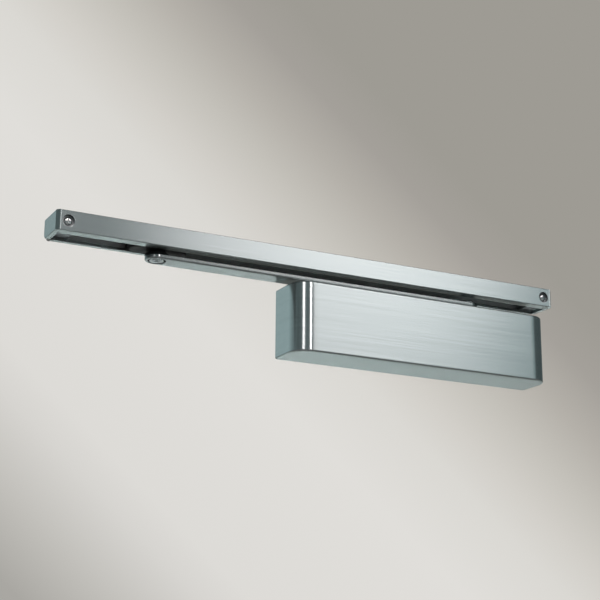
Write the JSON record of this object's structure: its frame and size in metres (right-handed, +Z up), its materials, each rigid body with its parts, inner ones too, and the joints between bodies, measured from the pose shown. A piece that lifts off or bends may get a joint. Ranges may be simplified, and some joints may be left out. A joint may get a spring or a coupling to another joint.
{
  "type": "slide arm door closer",
  "caption": "Overhead door closer with a heart cam and two pistons under a slim cover, a straight arm and a guide rail with a pivoting slider.",
  "frame": {"origin": "on the door's face, at the centre of the closer body's four fixing holes", "axes": "+X along the door towards its hinges, +Y back into the door, +Z up"},
  "size_m": [0.44, 0.0534, 0.082],
  "materials": {
    "satin_steel": "satin, brushed along its length",
    "arm_steel": "satin",
    "cast_aluminium": "as cast, fine grain",
    "machined_steel": "turned and ground",
    "piston_steel": "turned and lapped",
    "zinc_plated": "zinc plated",
    "spring_steel": "oiled spring steel",
    "black_rubber": "matt rubber",
    "black_plastic": "moulded acetal",
    "brass": "turned"
  },
  "bodies": {
    "closer_unit": {"closer_body": "cast_aluminium", "cover": "satin_steel", "cover_clips": "spring_steel", "clip_screws": "zinc_plated", "spring_end_plug": "zinc_plated", "damping_end_plug": "zinc_plated", "end_plug_seals": "black_rubber", "upper_gland": "zinc_plated", "upper_bearing": "machined_steel", "upper_shaft_seal": "black_rubber", "lower_bearing": "machined_steel", "lower_plug": "zinc_plated", "lower_plug_seal": "black_rubber", "valve_seals": "black_rubber", "main_spring": "spring_steel"},
    "arm_assembly": {"cam_shaft": "machined_steel", "slide_arm": "arm_steel", "arm_washer": "zinc_plated", "arm_screw": "zinc_plated", "arm_bush": "black_plastic"},
    "slider_unit": {"slider_block": "black_plastic", "pivot_pin": "machined_steel", "retaining_clip": "spring_steel"},
    "rail_assembly": {"guide_rail": "satin_steel", "left_rail_cap": "satin_steel", "right_rail_cap": "satin_steel", "rail_blocks": "cast_aluminium", "rail_screws": "zinc_plated"},
    "drive_piston_unit": {"drive_piston": "piston_steel", "drive_roller_pin": "machined_steel"},
    "drive_roller_unit": {"drive_roller": "machined_steel"},
    "damping_piston_unit": {"damping_piston": "piston_steel", "damping_roller_pin": "machined_steel", "check_ball": "machined_steel", "check_retainer": "brass", "damping_spring": "spring_steel"},
    "damping_roller_unit": {"damping_roller": "machined_steel"},
    "adjuster_unit": {"adjuster_screw": "machined_steel"},
    "spring_seat_unit": {"spring_seat": "machined_steel"},
    "sweep_valve_unit": {"sweep_valve": "brass"},
    "latch_valve_unit": {"latch_valve": "brass"},
    "backcheck_valve_unit": {"backcheck_valve": "brass"}
  },
  "joints": [
    {"name": "arm_swing", "type": "hinge", "parent": "closer_unit", "child": "arm_assembly", "pos_m": [0.05, -0.0188, 0.0327], "axis": [0, 0, 1], "range_deg": [-150, 0], "stiffness_Nm_per_rad": 3, "springref_deg": 20.05},
    {"name": "slider_pivot", "type": "hinge", "parent": "arm_assembly", "child": "slider_unit", "pos_m": [-0.229, -0.0188, 0.036], "axis": [0, 0, 1], "continuous": true},
    {"name": "rail_slide", "type": "slide", "parent": "slider_unit", "child": "rail_assembly", "axis": [1, 0, 0], "range_m": [-0.314, 0.044]},
    {"name": "drive_piston_slide", "type": "slide", "parent": "closer_unit", "child": "drive_piston_unit", "axis": [-1, 0, 0], "range_m": [0, 0.0074], "deforming": ["main_spring"]},
    {"name": "damping_piston_slide", "type": "slide", "parent": "closer_unit", "child": "damping_piston_unit", "axis": [-1, 0, 0], "range_m": [0, 0.0074], "deforming": ["damping_spring"]},
    {"name": "drive_roller_spin", "type": "hinge", "parent": "drive_piston_unit", "child": "drive_roller_unit", "pos_m": [0.0392, -0.0188, 0], "axis": [0, 0, 1], "continuous": true},
    {"name": "damping_roller_spin", "type": "hinge", "parent": "damping_piston_unit", "child": "damping_roller_unit", "pos_m": [0.0696, -0.0188, 0], "axis": [0, 0, 1], "continuous": true},
    {"name": "adjuster_turn", "type": "hinge", "parent": "closer_unit", "child": "adjuster_unit", "pos_m": [-0.095, -0.0188, 0], "axis": [1, 0, 0], "range_deg": [0, 2880]},
    {"name": "spring_seat_slide", "type": "slide", "parent": "closer_unit", "child": "spring_seat_unit", "axis": [1, 0, 0], "range_m": [0, 0.0121], "deforming": ["main_spring"]},
    {"name": "sweep_valve_turn", "type": "hinge", "parent": "closer_unit", "child": "sweep_valve_unit", "pos_m": [0.09, -0.0065, 0.0185], "axis": [1, 0, 0], "range_deg": [-360, 360]},
    {"name": "latch_valve_turn", "type": "hinge", "parent": "closer_unit", "child": "latch_valve_unit", "pos_m": [0.09, -0.0065, -0.0185], "axis": [1, 0, 0], "range_deg": [-360, 360]},
    {"name": "backcheck_valve_turn", "type": "hinge", "parent": "closer_unit", "child": "backcheck_valve_unit", "pos_m": [-0.092, -0.0065, 0.0185], "axis": [1, 0, 0], "range_deg": [-360, 360]}
  ],
  "couplings": [
    {"joint": "drive_piston_slide", "follows": "arm_swing", "m_per_rad": -0.0028011},
    {"joint": "damping_piston_slide", "follows": "arm_swing", "m_per_rad": -0.0028011},
    {"joint": "spring_seat_slide", "follows": "adjuster_turn", "m_per_rad": 0.00023873}
  ]
}
